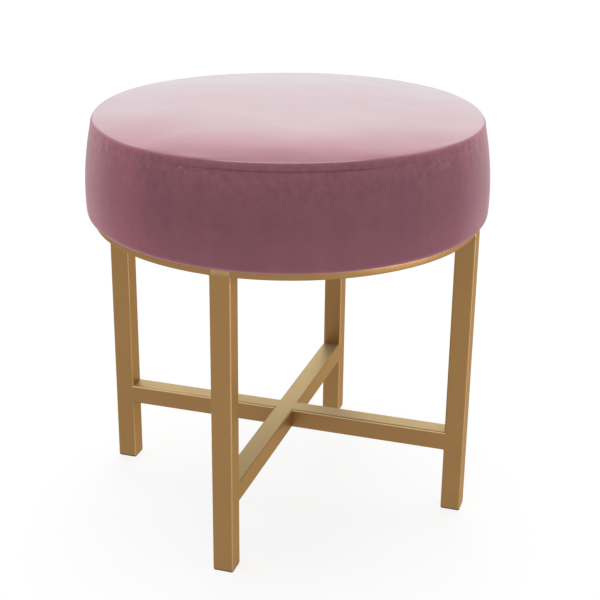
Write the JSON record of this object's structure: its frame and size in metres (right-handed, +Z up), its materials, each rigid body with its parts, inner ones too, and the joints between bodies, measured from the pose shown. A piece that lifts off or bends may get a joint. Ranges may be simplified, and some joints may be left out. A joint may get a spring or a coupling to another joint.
{
  "type": "x frame stool",
  "caption": "Round upholstered drum seat screwed to a welded steel frame: straight square legs under a flat ring, tied by stretchers that cross in an X.",
  "frame": {"origin": "on the floor, under the middle of the seat and the crossing of the stretchers", "axes": "+Z up through the middle of the seat, -Y towards the front leg, +X towards the right leg"},
  "size_m": [0.491, 0.491, 0.507],
  "materials": {
    "gold_paint": "satin gold paint on steel",
    "velvet": "short-pile mauve velvet, pale where the nap catches the light",
    "glide_plastic": "moulded black plastic",
    "wadding": "white polyester wadding",
    "foam": "cream polyurethane foam",
    "plywood": "bare plywood",
    "dust_cloth": "black non-woven cloth",
    "zinc_steel": "bright zinc plate"
  },
  "bodies": {
    "root": {"leg_front": "gold_paint", "leg_back": "gold_paint", "leg_left": "gold_paint", "leg_right": "gold_paint", "stretcher_long": "gold_paint", "stretcher_left": "gold_paint", "stretcher_right": "gold_paint", "seat_ring": "gold_paint", "foot_glide_front": "glide_plastic", "foot_glide_back": "glide_plastic", "foot_glide_left": "glide_plastic", "foot_glide_right": "glide_plastic", "seat_cover_panel": "velvet", "seat_cover_band": "velvet", "seat_wadding": "wadding", "seat_foam": "foam", "seat_board": "plywood", "dust_cover": "dust_cloth", "seat_screw_1": "zinc_steel", "seat_screw_2": "zinc_steel", "seat_screw_3": "zinc_steel", "seat_screw_4": "zinc_steel", "screw_washer_1": "zinc_steel", "screw_washer_2": "zinc_steel", "screw_washer_3": "zinc_steel", "screw_washer_4": "zinc_steel", "tee_nut_1": "zinc_steel", "tee_nut_2": "zinc_steel", "tee_nut_3": "zinc_steel", "tee_nut_4": "zinc_steel"}
  },
  "joints": []
}
